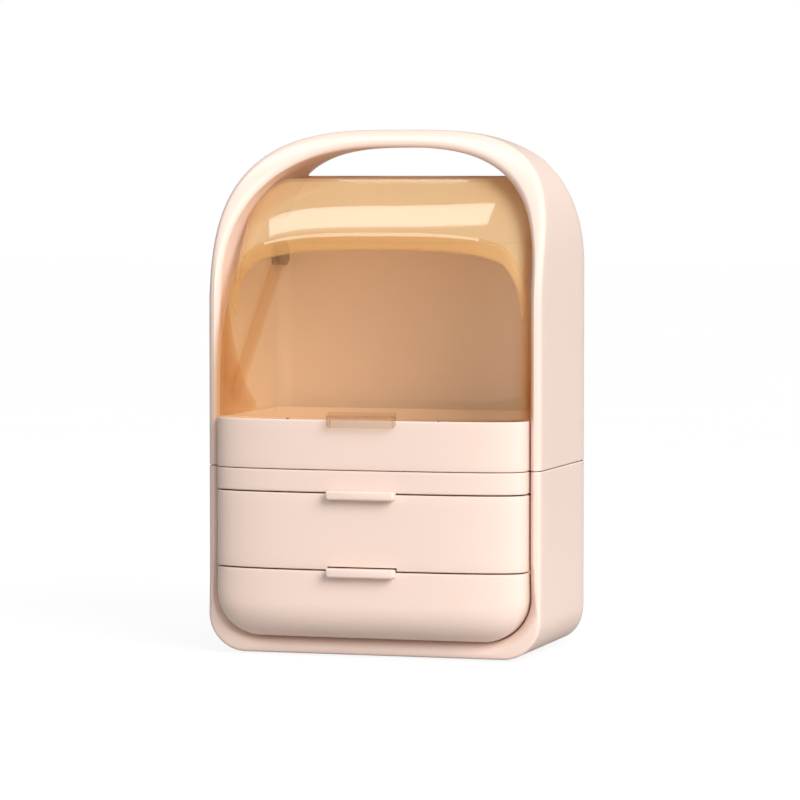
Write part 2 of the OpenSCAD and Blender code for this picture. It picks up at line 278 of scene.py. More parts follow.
def plastic(name, colour, rough, spread=0.03, grain=0.01, coat=0.0, mottle=0.012, grain_scale=700.0):
    """Moulded plastic: faint flow mottling in the colour, uneven gloss and a fine mould grain."""
    t = Tree(name)
    p = t.add("ShaderNodeBsdfPrincipled")
    flow = t.noise(6.0, 2.0, 0.4, (1.0, 1.0, 0.6))
    t.link(t.ramp(flow, 0.2, 0.8, scaled(colour, 1 - mottle, 0.006), scaled(colour, 1 + mottle, -0.006)),
           p.inputs["Base Color"])
    handled = t.noise(12.0, 2.0, 0.45)
    t.link(t.ramp(handled, 0.2, 0.8, rough - spread, rough + spread), p.inputs["Roughness"])
    t.link(t.bump(t.noise(grain_scale, 1.0, 0.4), grain, 0.00012), p.inputs["Normal"])
    p.inputs["IOR"].default_value = 1.5
    p.inputs["Coat Weight"].default_value = coat
    p.inputs["Coat Roughness"].default_value = 0.12
    t.link(p.outputs[0], t.out.inputs["Surface"])
    return t.mat


def clear_sheet(name, face, edge, gloss=0.03, skin=0.045, wave=0.0, haze=0.0, body=(1, 1, 1, 1)):
    """Tinted clear plastic: what is behind shows through the tint, deeper where it is seen
    at a slant, with a slight haze in the sheet and a polished skin over it."""
    t = Tree(name)
    lw = t.add("ShaderNodeLayerWeight")
    lw.inputs["Blend"].default_value = 0.42
    uneven = t.noise(9.0, 3.0, 0.5)
    tint_a = t.ramp(uneven, 0.3, 0.7, scaled(face, 0.99), scaled(face, 1.01))
    mix = t.add("ShaderNodeMix", data_type="RGBA")
    t.link(lw.outputs["Facing"], mix.inputs["Factor"])
    t.link(tint_a, mix.inputs["A"])
    mix.inputs["B"].default_value = edge
    clear = t.add("ShaderNodeBsdfTransparent")
    t.link(mix.outputs["Result"], clear.inputs["Color"])
    if haze:
        milky = t.add("ShaderNodeBsdfDiffuse")
        t.link(t.ramp(uneven, 0.3, 0.7, scaled(body, 0.97), scaled(body, 1.02)), milky.inputs["Color"])
        hazed = t.add("ShaderNodeMixShader")
        hazed.inputs["Fac"].default_value = haze
        t.link(clear.outputs[0], hazed.inputs[1])
        t.link(milky.outputs[0], hazed.inputs[2])
        clear = hazed
    shine = t.add("ShaderNodeBsdfGlossy")
    shine.inputs["Color"].default_value = (1, 1, 1, 1)
    t.link(t.ramp(t.noise(60.0, 4.0, 0.6), 0.3, 0.8, gloss, gloss * 2.2), shine.inputs["Roughness"])
    if wave:
        t.link(t.bump(t.noise(22.0, 2.0, 0.4), wave, 0.002), shine.inputs["Normal"])
    slant = t.add("ShaderNodeLayerWeight")
    slant.inputs["Blend"].default_value = 0.5
    p5 = t.add("ShaderNodeMath", operation="POWER")
    p5.inputs[1].default_value = 5.0
    t.link(slant.outputs["Facing"], p5.inputs[0])
    fr = t.ramp(p5.outputs[0], 0.0, 1.0, skin, 0.9)
    both = t.add("ShaderNodeMixShader")
    t.link(fr, both.inputs["Fac"])
    t.link(clear.outputs[0], both.inputs[1])
    t.link(shine.outputs[0], both.inputs[2])
    t.link(both.outputs[0], t.out.inputs["Surface"])
    return t.mat


def metal(name, colour):
    t = Tree(name)
    p = t.add("ShaderNodeBsdfPrincipled")
    p.inputs["Metallic"].default_value = 1.0
    turned = t.noise(420.0, 2.0, 0.5, (1.0, 1.0, 0.05))
    t.link(t.ramp(turned, 0.3, 0.7, scaled(colour, 0.9), scaled(colour, 1.08)), p.inputs["Base Color"])
    t.link(t.ramp(turned, 0.3, 0.7, 0.28, 0.42), p.inputs["Roughness"])
    t.link(t.bump(turned, 0.05, 0.0002), p.inputs["Normal"])
    t.link(p.outputs[0], t.out.inputs["Surface"])
    return t.mat


BLUSH = srgb(243, 218, 205)
blush = plastic("blush_satin_gloss", BLUSH, 0.3, coat=0.25)
inner = plastic("inner_satin", scaled(BLUSH, 0.99), 0.42, grain=0.02)
# a darker copy of the inner plastic for the drawer bay, its rails and shelf: painted shade in the recess behind the
# drawers
bay = plastic("bay_shaded_satin", scaled(BLUSH, 0.92), 0.5, grain=0.03)
boss = plastic("hub_brown", srgb(128, 84, 62), 0.35)
amber = clear_sheet("amber_clear", (1.0, 0.962, 0.885, 1), (0.96, 0.80, 0.53, 1), haze=0.07,
                    body=srgb(255, 205, 150))
# the canopy's amber is a lighter, hazier copy of the cover's: painted light, brightening the hood where the handle
# arch shades the inside
hood = clear_sheet("amber_hood_lightened", (1.0, 0.98, 0.93, 1), (1.0, 0.89, 0.70, 1), haze=0.32,
                   body=srgb(255, 220, 170))
arm = clear_sheet("amber_arm", (1.0, 0.97, 0.91, 1), (0.96, 0.82, 0.58, 1))
tab = clear_sheet("clear_tab", (0.97, 0.94, 0.90, 1), (0.80, 0.72, 0.62, 1), wave=0.5)
rubber = plastic("soft_rubber", srgb(150, 140, 134), 0.75, grain=0.2, mottle=0.05)
steel = metal("zinc_steel", (0.62, 0.62, 0.63, 1))

# ---------------------------------------------------------------- outer case

O0, I0 = outer2d(0.0), inner2d(0.0)


def loop_normals(p):
    t = np.roll(p, -1, 0) - np.roll(p, 1, 0)
    t /= np.linalg.norm(t, axis=1)[:, None]
    return np.stack([t[:, 1], -t[:, 0]], 1)


ON = loop_normals(O0)
low = smooth01((70 - O0[:, 1]) / 60)                      # 1 along the bottom
high = smooth01((O0[:, 1] - 330) / 50)                    # 1 over the handle
RIM_W = 3.4 + 4.4 * low + 2.0 * high                      # width of the inner bevel
RIM_D = 5.0 + 3.5 * low + 1.0 * high                      # depth of the inner bevel
R_OUT = 4.6 - 2.2 * low                                    # rounding of the outer edge
gap = np.linalg.norm(O0 - I0, axis=1)
opening = I0[:, 1] >= 366.0
side_share = ON[:, 0] ** 2
back_r = 30 * side_share + np.where(ON[:, 1] < 0, 12.0, 11.0) * (1 - side_share)
back_r = np.minimum(back_r, gap - 4.6 + 0.9 * np.maximum(0, 364 - I0[:, 1]))

# where each line of the back wall ends: at the handle opening, or on the middle line
start = np.nonzero(opening)[0].min()


def at_opening(e):
    """The opening's outline, with the points next to the back wall's top edge moved onto it."""
    p = inner2d(e)
    for j, k in ((start, start - 1), (N - start, N - start + 1)):
        f = (366.0 - p[j, 1]) / (p[k, 1] - p[j, 1])
        p[j] = p[j] + (p[k] - p[j]) * f
    return p


path = np.concatenate([[0], np.cumsum(np.linalg.norm(np.diff(O0, axis=0), axis=1))])
lam = path / path[start - 1]
mid_z = np.zeros(N)
mid_z[:start] = 14 + (366 - 14) * np.clip(lam[:start], 0, 1)
mid_z[start:] = mid_z[(N - np.arange(start, N)) % N]
level = at_opening(3.4)[:, 1]
top_share = smooth01((lam - 0.45) / 0.5)
mid_z[:start] += (level[:start] - mid_z[:start]) * top_share[:start]
mid_z[N - start + 1:] = mid_z[1:start][::-1]
top_share[N - start + 1:] = top_share[1:start][::-1]


def back_line(a, w):
    """Point w of the way from the outer outline to the opening's outline, then to the middle line."""
    c = at_opening(3.4)
    b = np.where(opening[:, None], c, np.stack([np.zeros(N), mid_z], 1))
    side_c = np.stack([np.sign(a[:, 0]) * np.minimum(np.abs(a[:, 0]), np.abs(c[:, 0])),
                       a[:, 1] + (c[:, 1] - a[:, 1]) * top_share], 1)
    c = np.where(opening[:, None], c, side_c)
    return a + (c - a) * min(1.0, 2 * w) if w <= 0.5 else c + (b - c) * (2 * w - 1)


def case_rows():
    """Rows of points round the case: outside from the opening's front edge to the back, then inside."""
    out = []
    # inner bevel, from the wall of the opening to the crest
    for c in quarter(8):
        k = (np.cos(c) ** 1.35, np.sin(c) ** 1.35)
        e = RIM_W * (1 - k[0])
        xz = vary(inner2d, e)
        out.append((xz, front_y(xz[:, 1]) + RIM_D * (1 - k[1])))
    a, b = vary(inner2d, RIM_W), vary(outer2d, R_OUT)
    for w in (0.33, 0.67):
        xz = a * (1 - w) + b * w
        out.append((xz, front_y(xz[:, 1]) - 0.12))
    for c in quarter(7):
        xz = vary(outer2d, R_OUT * (1 - math.sin(c)))
        out.append((xz, front_y(xz[:, 1]) + R_OUT * (1 - math.cos(c))))
    y0, y1 = front_y(O0[:, 1]) + R_OUT, back_y(O0[:, 1]) - back_r
    for w in np.linspace(0, 1, 12)[1:-1]:
        out.append((O0, y0 + (y1 - y0) * w))
    for c in quarter(10):
        xz = vary(outer2d, back_r * (1 - math.cos(c)))
        out.append((xz, back_y(xz[:, 1]) - back_r * (1 - math.sin(c))))
    a = vary(outer2d, back_r)
    b = back_line(a, 1.0)
    for w in np.linspace(0, 1, 9)[1:]:
        xz = back_line(a, w)
        out.append((xz, back_y(xz[:, 1])))
    for c in quarter(5)[1:]:
        e = 3.4 * (1 - math.sin(c))
        xz = np.where(opening[:, None], at_opening(e), b)
        out.append((xz, back_y(xz[:, 1]) - np.where(opening, 3.4 * (1 - math.cos(c)), 0.0)))
    # and back along the inside
    ins = []
    xz = np.where(opening[:, None], at_opening(2.2), b)
    ins.append((xz, back_y(xz[:, 1]) - np.where(opening, 3.6, 3.0)))
    a2 = vary(outer2d, np.maximum(back_r, 3.0))
    for w in np.linspace(1, 0, 9)[1:-1]:
        q = back_line(a2, w)
        ins.append((q, back_y(q[:, 1]) - 3.6))
    r2 = np.maximum(back_r - 3, 0.5)
    for c in quarter(6)[::-1]:
        q = vary(outer2d, 3 + r2 * (1 - math.cos(c)))
        ins.append((q, back_y(q[:, 1]) - 3.6 - r2 * (1 - math.sin(c))))
    O3 = outer2d(3.0)
    f0, f1 = front_y(O3[:, 1]) + RIM_D + 2.0, back_y(O3[:, 1]) - back_r - 0.4
    for w in (0.75, 0.5, 0.25, 0.0):
        ins.append((O3, f0 + (f1 - f0) * w))
    q = inner2d(2.1)
    ins.append((q, front_y(q[:, 1]) + RIM_D + 2.0))
    ins.append((q, front_y(q[:, 1]) + RIM_D))
    return out, ins


def case_mesh():
    out, ins = case_rows()
    rows = out + ins
    nt = len(rows)
    pts = np.stack([np.column_stack([xz[:, 0], y, xz[:, 1]]) for xz, y in rows])   # row, s, 3
    faces = []
    last = len(out) - 1
    for i in range(nt):
        i2 = (i + 1) % nt
        for j in range(N):
            j2 = (j + 1) % N
            if i == last and not opening[j] and not opening[j2]:
                continue
            faces.append((i * N + j, i * N + j2, i2 * N + j2, i2 * N + j))
    return pts.reshape(-1, 3), faces


case_v, case_f = case_mesh()


def half_case(name, z_cut, keep_up, node):
    me = bpy.data.meshes.new(name)
    me.from_pydata(metres(case_v).tolist(), [], case_f)
    bm = bmesh.new()
    bm.from_mesh(me)
    bmesh.ops.remove_doubles(bm, verts=bm.verts, dist=2e-6)
    bmesh.ops.dissolve_degenerate(bm, edges=bm.edges, dist=1e-7)
    bmesh.ops.recalc_face_normals(bm, faces=bm.faces)
    sign = 1 if keep_up else -1
    for dz in (1.6, 0.55):
        z = (z_cut + sign * dz + FOOT) / 1000
        bmesh.ops.bisect_plane(bm, geom=bm.verts[:] + bm.edges[:] + bm.faces[:], dist=1e-8,
                               plane_co=(0, 0, z), plane_no=(0, 0, 1))
    z = (z_cut + FOOT) / 1000
    cut = bmesh.ops.bisect_plane(bm, geom=bm.verts[:] + bm.edges[:] + bm.faces[:], dist=1e-8,
                                 plane_co=(0, 0, z), plane_no=(0, 0, 1),
                                 clear_inner=keep_up, clear_outer=not keep_up)["geom_cut"]
    bm.normal_update()
    verts = [g for g in cut if isinstance(g, bmesh.types.BMVert)]
    edges = [g for g in cut if isinstance(g, bmesh.types.BMEdge)]
    for v in verts:
        n = Vector((v.normal.x, v.normal.y, 0))
        if n.length > 1e-6:
            v.co -= n.normalized() * 0.00045
    bmesh.ops.triangle_fill(bm, edges=edges, use_beauty=True)
    bmesh.ops.recalc_face_normals(bm, faces=bm.faces)
    bm.to_mesh(me)
    bm.free()
    return finish_piece(name, me, blush, "root", node, angle=40)


half_case("upper_case_shell", SEAM + 0.3, True, "upper_case")
half_case("lower_case_shell", SEAM - 0.3, False, "lower_case")


# ---------------------------------------------------------------- walls of the opening
def liner(name, pick, z_lo, z_hi, y_end, node, mat, t=1.9):
    """Skin of the opening from behind the rim's bevel to y_end, between two heights."""
    rows = []
    for e, at_front in ((0.0, True), (0.0, False), (t, False), (t, True)):
        xz = inner2d(e)
        y0 = front_y(xz[:, 1]) + RIM_D
        d = np.minimum(gap + e, back_r)              # stays inside the rounded rear corner
        y1 = np.minimum(y_end(xz[:, 1]), back_y(xz[:, 1]) - back_r - 3.6
                        + np.sqrt(back_r ** 2 - (back_r - d) ** 2))
        ws = np.linspace(0, 1, 9) if e == 0.0 else np.linspace(1, 0, 9)
        if (e == 0.0) != at_front:
            continue
        for w in ws:
            rows.append((xz, y0 + (y1 - y0) * w))
    idx = [i for i in range(N) if pick[i]]
    if 0 in idx:                                     # a run through the bottom
        cut = next(k for k in range(len(idx) - 1) if idx[k + 1] != idx[k] + 1)
        idx = idx[cut + 1:] + idx[:cut + 1]
    pts = np.stack([np.column_stack([xz[idx, 0], y[idx], xz[idx, 1]]) for xz, y in rows])
    pts[:, :, 2] = np.clip(pts[:, :, 2], z_lo, z_hi)
    nr, nc = pts.shape[:2]
    faces = grid_faces(nr, nc, wrap_r=True)
    faces.append([i * nc for i in range(nr)])
    faces.append([i * nc + nc - 1 for i in range(nr)][::-1])
    return make(name, pts.reshape(-1, 3), faces, mat, "root", node, slot="inner_plastic")


zi = I0[:, 1]
idx_all = np.arange(N)
arch_pick = (zi >= 281) & (idx_all > 20)
first = np.nonzero(zi >= SPLIT)[0]
pick = np.zeros(N, bool)
pick[first.min() - 1:first.max() + 2] = True
liner("handle_lining", pick, SPLIT, 500, lambda z: back_y(z) - 3.6, "handle_liner", inner)
right = (idx_all >= 10) & (idx_all <= first.min()) & (zi > 125)
left = (idx_all >= first.max()) & (zi > 125)
liner("right_lining", right, SEAM + 0.35, SPLIT - 0.05, lambda z: z * 0 + 143.0, "right_liner", inner, 1.75)
liner("left_lining", left, SEAM + 0.35, SPLIT - 0.05, lambda z: z * 0 + 143.0, "left_liner", inner, 1.75)
down = zi < 165
liner("drawer_bay_lining", down, 0, SEAM - 0.35, lambda z: z * 0 + 155.0, "drawer_bay", bay)


# ---------------------------------------------------------------- bowed panels
def bow(a, b, seg=120, n=3.0):
    """Bulged front edge from the left end to the right end, with its outward normals."""
    p = hyper(a, b, n, np.linspace(math.pi, 0, 4001)) * (1, -1)
    p = even(p, seg)
    t = np.gradient(p, axis=0)
    t /= np.linalg.norm(t, axis=1)[:, None]
    nrm = np.stack([t[:, 1], -t[:, 0]], 1)
    nrm[0], nrm[-1] = (-1, 0), (1, 0)
    return p, nrm


def with_ends(p, n, a, ys):
    l = np.array([[-a, y] for y in ys[::-1]])
    r = np.array([[a, y] for y in ys])
    return (np.concatenate([l, p, r]),
            np.concatenate([np.tile([[-1.0, 0.0]], (len(ys), 1)), n, np.tile([[1.0, 0.0]], (len(ys), 1))]))


def edge_rows(z0, z1, r, t, r_in=0.6, n=4, steps=8):
    """Section of a panel as (draw-in, height): round the outside from bottom to top, then the inside."""
    q = quarter(n)
    rows = [(r * (1 - math.sin(c)), z0 + r * (1 - math.cos(c))) for c in q]
    rows += [(0.0, z) for z in np.linspace(z0 + r, z1 - r, steps + 1)[1:-1]]
    rows += [(r * (1 - math.cos(c)), z1 - r * (1 - math.sin(c))) for c in q]
    rows += [(t - r_in * (1 - math.sin(c)), z1 - r_in * (1 - math.cos(c))) for c in q]
    rows += [(t - r_in * (1 - math.cos(c)), z0 + r_in * (1 - math.sin(c))) for c in q]
    return rows


def panel(name, z0, z1, y_end, r, t, body, node, mat=None):
    p, n = bow(FHW, BULGE)
    p, n = with_ends(p, n, FHW, list(np.linspace(0, y_end, 4)[1:]))
    rows = edge_rows(z0, z1, r, t)
    pts = np.stack([np.column_stack([p - n * d, np.full(len(p), z)]) for d, z in rows])
    nr, nc = pts.shape[:2]
    faces = grid_faces(nr, nc, wrap_r=True)
    faces.append([i * nc for i in range(nr)])
    faces.append([i * nc + nc - 1 for i in range(nr)][::-1])
    return pts.reshape(-1, 3), faces


def notched(v, f, boxes):
    """The mesh with box-shaped pockets taken out."""
    me = bpy.data.meshes.new("work")
    me.from_pydata(metres(v).tolist(), [], [list(map(int, q)) for q in f])
    bm = bmesh.new()
    bm.from_mesh(me)
    bmesh.ops.remove_doubles(bm, verts=bm.verts, dist=1e-6)
    bmesh.ops.recalc_face_normals(bm, faces=bm.faces)
    bm.to_mesh(me)
    bm.free()
    return cut_boxes(me, boxes)


def cut_boxes(me, boxes, r=0.0):
    cutters = []
    for (x0, x1, y0, y1, z0, z1) in boxes:
        cm = bpy.data.meshes.new("cutter")
        bm = bmesh.new()
        bmesh.ops.create_cube(bm, size=1.0)
        lo, hi = metres([(x0, y0, z0)])[0], metres([(x1, y1, z1)])[0]
        for v in bm.verts:
            v.co = Vector([lo[k] + (hi[k] - lo[k]) * (v.co[k] + 0.5) for k in range(3)])
        if r:
            bmesh.ops.bevel(bm, geom=bm.edges[:], offset=r / 1000, segments=3, profile=0.5, affect="EDGES")
        bm.to_mesh(cm)
        bm.free()
        ob = bpy.data.objects.new("cutter", cm)
        bpy.context.scene.collection.objects.link(ob)
        cutters.append(ob)
    out = applied(me, *[("BOOLEAN", {"operation": "DIFFERENCE", "solver": "EXACT", "object": c}) for c in cutters])
    for c in cutters:
        bpy.data.objects.remove(c)
    return out


# upper drawer front, with room under it for the lip of the drawer below
v, f = panel("upper", MID + 0.5, RAIL - 0.5, 9.5, 1.1, 3.1, "upper_drawer", "upper_drawer_front")
me = notched(v, f, [(-LIP_W / 2 - 0.6, LIP_W / 2 + 0.6, -BULGE - 3, 6, MID - 3, MID + 3.1)])
finish_piece("upper_drawer_panel", me, blush, "upper_drawer", "upper_drawer_front")

# band over the drawers, with its flat top
p, n = bow(FHW, BULGE)
p, n = with_ends(p, n, FHW, [3.2, 9.5])
rows = edge_rows(RAIL + 0.5, SEAM - 0.3, 1.0, 3.0)
half = next(i for i, q in enumerate(rows) if q[0] > 1.01 and q[1] > SEAM - 2)
pts = []
for i, (d, z) in enumerate(rows):
    if i == half:
        for zz in (SEAM - 0.3, SEAM - 3.3):
            pts.append(np.column_stack([p[:, 0] * 0.999, np.full(len(p), 13.8), np.full(len(p), zz)]))
    if i < half or z < SEAM - 3.4:
        pts.append(np.column_stack([p - n * d, np.full(len(p), z)]))
    elif i == half:
        pts.append(np.column_stack([p - n * 3.0, np.full(len(p), SEAM - 3.3)]))
pts = np.stack(pts)
nr, nc = pts.shape[:2]
faces = grid_faces(nr, nc, wrap_r=True)
faces.append([i * nc for i in range(nr)])
faces.append([i * nc + nc - 1 for i in range(nr)][::-1])
make("front_band", pts.reshape(-1, 3), faces, blush, "root", "front_rail")


# ---------------------------------------------------------------- lower drawer front
def dish(a, b, zb, rb, r, z1, top_r, seg=200):
    """Rounded front: the bulge fades and the width narrows towards the bottom."""
    dz = [r * (1 - math.cos(c)) for c in quarter(24)]
    dz += [v for v in np.linspace(r, z1 - zb - top_r, 9)[1:]]
    base = hyper(1.0, 1.0, 3.0, np.linspace(math.pi, 0, 8001))
    real = even(base * (a, b * 0.6), seg) / (a, b * 0.6)
    rows = []
    for h in dz:
        w = a - rb + math.sqrt(max(0, rb * rb - max(0, rb - h) ** 2)) if h < rb else a
        k = (b - r + math.sqrt(max(0, r * r - max(0, r - h) ** 2))) / b if h < r else 1.0
        rows.append((np.column_stack([real[:, 0] * w, -b * real[:, 1] * k]), zb + h, w))
    if top_r:
        pz, nn = bow(a, b, seg)
        for c in quarter(4)[1:]:
            rows.append((pz - nn * (top_r * (1 - math.cos(c))), z1 - top_r * (1 - math.sin(c)), a))
    return rows


def dish_grid(rows, y_end):
    out = []
    for xy, z, w in rows:
        l = [(xy[0, 0], y_end), (xy[0, 0], y_end * 0.5)]
        r = [(xy[-1, 0], y_end * 0.5), (xy[-1, 0], y_end)]
        q = np.concatenate([l, xy, r])
        out.append(np.column_stack([q, np.full(len(q), z)]))
    return out


o_rows = dish_grid(dish(FHW, BULGE, IBZ + 0.8, 35.2, 28.0, MID - 0.5, 1.1), 9.5)
i_rows = dish_grid(dish(BHW, BULGE - 3, IBZ + 3.8, 32.0, 25.0, MID - 0.5, 0.0), 9.5)[::-1]
low_back = o_rows[0].copy()
low_back[:, 1] = 9.5
in_back = i_rows[-1].copy()
in_back[:, 1] = 9.5
pts = np.stack(o_rows + i_rows + [in_back, low_back])
nr, nc = pts.shape[:2]
faces = grid_faces(nr, nc, wrap_r=True)
faces.append([i * nc for i in range(nr)])
faces.append([i * nc + nc - 1 for i in range(nr)][::-1])
make("lower_drawer_panel", pts.reshape(-1, 3), faces, blush, "lower_drawer", "lower_drawer_front", angle=78)


def tub_loops(a, b, zb, rb, r, z1, y_end):
    """Closed loops of the lower drawer's box, from its floor to its top."""
    out = []
    for xy, z, w_ in dish(a, b, zb, rb, r, z1, 0.0, seg=110):
        w1 = xy[-1, 0]
        back = [(w1, y_end * 0.5), (w1, y_end - 3)] + [(x, y_end) for x in np.linspace(w1 - 3, 3 - w1, 16)]
        q_ = np.concatenate([xy, back, [(-w1, y_end - 3), (-w1, y_end * 0.5)]])
        out.append(np.column_stack([q_, np.full(len(q_), z)]))
    return out


o_loops = tub_loops(BHW - 0.15, BULGE - 3.15, IBZ + 3.95, 31.9, 24.9, MID - 3.9, 150.0)
i_loops = tub_loops(BHW - 2, BULGE - 5, IBZ + 5.8, 30.0, 23.0, MID - 3.9, 148.0)
crown = []
for k in (0.3, 0.7):
    c = o_loops[-1] * (1 - k) + i_loops[-1] * k
    c[:, 2] = MID - 3.4
    crown.append(c)
pts = np.stack(o_loops + crown + i_loops[::-1])
nr, nc = pts.shape[:2]
faces = grid_faces(nr, nc, wrap_c=True)
faces.append(list(range(nc)))
faces.append([(nr - 1) * nc + j for j in range(nc)][::-1])
make("lower_drawer_tub", pts.reshape(-1, 3), faces, inner, "lower_drawer", "lower_drawer_box",
     slot="inner_plastic", angle=60)


# ---------------------------------------------------------------- pull lips
def rounded_box(x0, x1, y0, y1, z0, z1, corner, r, keep_back=True):
    bm = bmesh.new()
    bmesh.ops.create_cube(bm, size=1.0)
    lo, hi = metres([(x0, y0, z0)])[0], metres([(x1, y1, z1)])[0]
    for q in bm.verts:
        q.co = Vector([lo[k] + (hi[k] - lo[k]) * (q.co[k] + 0.5) for k in range(3)])
    eps = 1e-6
    if corner:
        pick_e = [e for e in bm.edges if all(abs(q.co.z - lo[2]) < eps for q in e.verts)
                  and abs(e.verts[0].co.x - e.verts[1].co.x) < eps]
        bmesh.ops.bevel(bm, geom=pick_e, offset=corner / 1000, segments=6, profile=0.5, affect="EDGES")
    pick_e = [e for e in bm.edges
              if not (keep_back and all(abs(q.co.y - hi[1]) < eps for q in e.verts))
              and len(e.link_faces) == 2
              and e.link_faces[0].normal.angle(e.link_faces[1].normal, 0) > math.radians(50)]
    bmesh.ops.bevel(bm, geom=pick_e, offset=r / 1000, segments=4, profile=0.5, affect="EDGES",
                    clamp_overlap=True)
    me = bpy.data.meshes.new("work")
    bm.to_mesh(me)
    bm.free()
    return me


def joined(*meshes):
    bm = bmesh.new()
    for m in meshes:
        bm.from_mesh(m)
    me = bpy.data.meshes.new("work")
    bm.to_mesh(me)
    bm.free()
    return me


def pull(name, z_line, body, node):
    w = LIP_W / 2
    me = rounded_box(-w, w, -BULGE - LIP_OUT, -BULGE - 0.2, z_line - 4.7, z_line + 2.2, 2.6, 1.7)
    me = cut_boxes(me, [(-w + 2.4, w - 2.4, -BULGE - LIP_OUT + 2.4, -BULGE + 3, z_line - 8, z_line + 0.0)], 0.6)
    root = rounded_box(-w + 0.2, w - 0.2, -BULGE - 0.6, -BULGE + 1.4, z_line - 4.4, z_line - 0.7, 0, 0.3)
    return finish_piece(name, joined(me, root), blush, body, node, angle=35)


pull("upper_drawer_lip", RAIL, "upper_drawer", "upper_drawer_pull")
pull("lower_drawer_lip", MID, "lower_drawer", "lower_drawer_pull")

w = LIP_W / 2
me = rounded_box(-w, w, -BULGE - 6.5, -BULGE - 0.45, 177.2, 186.4, 3.0, 1.4)
me = cut_boxes(me, [(-w + 2.1, w - 2.1, -BULGE - 4.4, -BULGE + 3, 174, 184.3)], 0.6)
tongue = rounded_box(-w + 0.2, w - 0.2, -BULGE - 0.8, -BULGE + 0.9, 184.35, 188.9, 0, 0.4)
finish_piece("cover_tab", joined(me, tongue), tab, "cover", "cover_pull", slot="clear_tab", angle=35)


# ---------------------------------------------------------------- display tray
def tray_loop():
    p, n = bow(FHW, BULGE)
    r = 4.0
    side_r = [(FHW, y) for y in np.linspace(0, 140 - r, 12)[1:]]
    cr = [(FHW - r + r * math.cos(c), 140 - r + r * math.sin(c)) for c in quarter(6)[1:]]
    rear = [(x, 140.0) for x in np.linspace(FHW - r, -(FHW - r), 14)[1:]]
    cl = [(-(FHW - r) - r * math.sin(c), 140 - r + r * math.cos(c)) for c in quarter(6)[1:]]
    side_l = [(-FHW, y) for y in np.linspace(140 - r, 0, 12)[1:-1]]
    q = np.concatenate([p, side_r, cr, rear, cl, side_l])
    t = np.roll(q, -1, 0) - np.roll(q, 1, 0)
    t /= np.linalg.norm(t, axis=1)[:, None]
    return q, np.stack([t[:, 1], -t[:, 0]], 1)


q, nq = tray_loop()
z0, z1, r = SEAM + 0.3, TRAY, 1.3
rows = [(8.0, z0), (3.0, z0)]
rows += [(0.8 * (1 - math.sin(c)), z0 + 0.8 * (1 - math.cos(c))) for c in quarter(4)]
rows += [(0.0, z) for z in np.linspace(z0 + 0.8, z1 - r, 8)[1:-1]]
rows += [(r * (1 - math.cos(c)), z1 - r * (1 - math.sin(c))) for c in quarter(5)]
rows += [(3.0 - 1.0 * (1 - math.sin(c)), z1 - 1.0 * (1 - math.cos(c))) for c in quarter(4)]
rows += [(3.0, z) for z in (175.0, 165.0, 155.0)]
rows += [(3.0 + 3 * (1 - math.cos(c)), z0 + 3.0 + 3 * (1 - math.sin(c))) for c in quarter(5)]
rows += [(8.0, z0 + 3.0)]
pts = np.stack([np.column_stack([q - nq * d, np.full(len(q), z)]) for d, z in rows])
nr, nc = pts.shape[:2]
faces = grid_faces(nr, nc, wrap_c=True)
faces.append(list(range(nc)))
faces.append([(nr - 1) * nc + j for j in range(nc)][::-1])
make("tray", pts.reshape(-1, 3), faces, blush, "root", "display_tray")


# ---------------------------------------------------------------- inner back panel
def plan_panel():
    r_in, r_out = 12.0, 13.75
    inn, out = [(IHW - 0.05, 140.2)], [(IHW + 1.7, 140.2)]
    for c in quarter(12):
        inn.append((IHW - 12 + r_in * math.cos(c), 143 + r_in * math.sin(c)))
        out.append((IHW - 12 + r_out * math.cos(c), 143 + r_out * math.sin(c)))
    mir = lambda a: [(-x, y) for x, y in a[::-1]]
    return np.array(inn + mir(inn)), np.array(out + mir(out))


inn, out = plan_panel()
pts = []
for line, zs in ((inn, (SEAM + 0.4, 313.6)), (out, (313.6, SEAM + 0.4))):
    for z in np.linspace(zs[0], zs[1], 5):
        pts.append(np.column_stack([line, np.full(len(line), z)]))
pts = np.stack(pts)
nr, nc = pts.shape[:2]
faces = grid_faces(nr, nc, wrap_r=True)
faces.append([i * nc for i in range(nr)])
faces.append([i * nc + nc - 1 for i in range(nr)][::-1])
v = pts.reshape(-1, 3)
plate = rounded_box(-100, 100, 155.2, 157.6, 311.0, 314.0, 0, 0.5, keep_back=False)
me = bpy.data.meshes.new("work")
me.from_pydata(metres(v).tolist(), [], faces)
me = joined(me, plate)
bm = bmesh.new()
bm.from_mesh(me)
bmesh.ops.recalc_face_normals(bm, faces=bm.faces)
bm.to_mesh(me)
bm.free()
finish_piece("inner_back", me, inner, "root", "inner_back_panel", slot="inner_plastic")


# ---------------------------------------------------------------- amber cover and canopy
def sweep_r(x):
    return 120 + 9.8 * min(1.0, max(0.0, (abs(x) - 98) / 22)) ** 1.5


def top_z(x, d):
    lo, hi = 184.5, 352.0
    for _ in range(24):
        m = (lo + hi) / 2
        if math.hypot(HUB_Y - dome_y(m) - d - AMBER_T, m - HUB_Z) > sweep_r(x):
            lo = m
        else:
            hi = m
    return lo


def front_cols(a, dd, seg):
    p = even(hyper(a, dd, 3.0, np.linspace(math.pi, 0, 4001)), seg)
    return [(x, dd - s) for x, s in p]


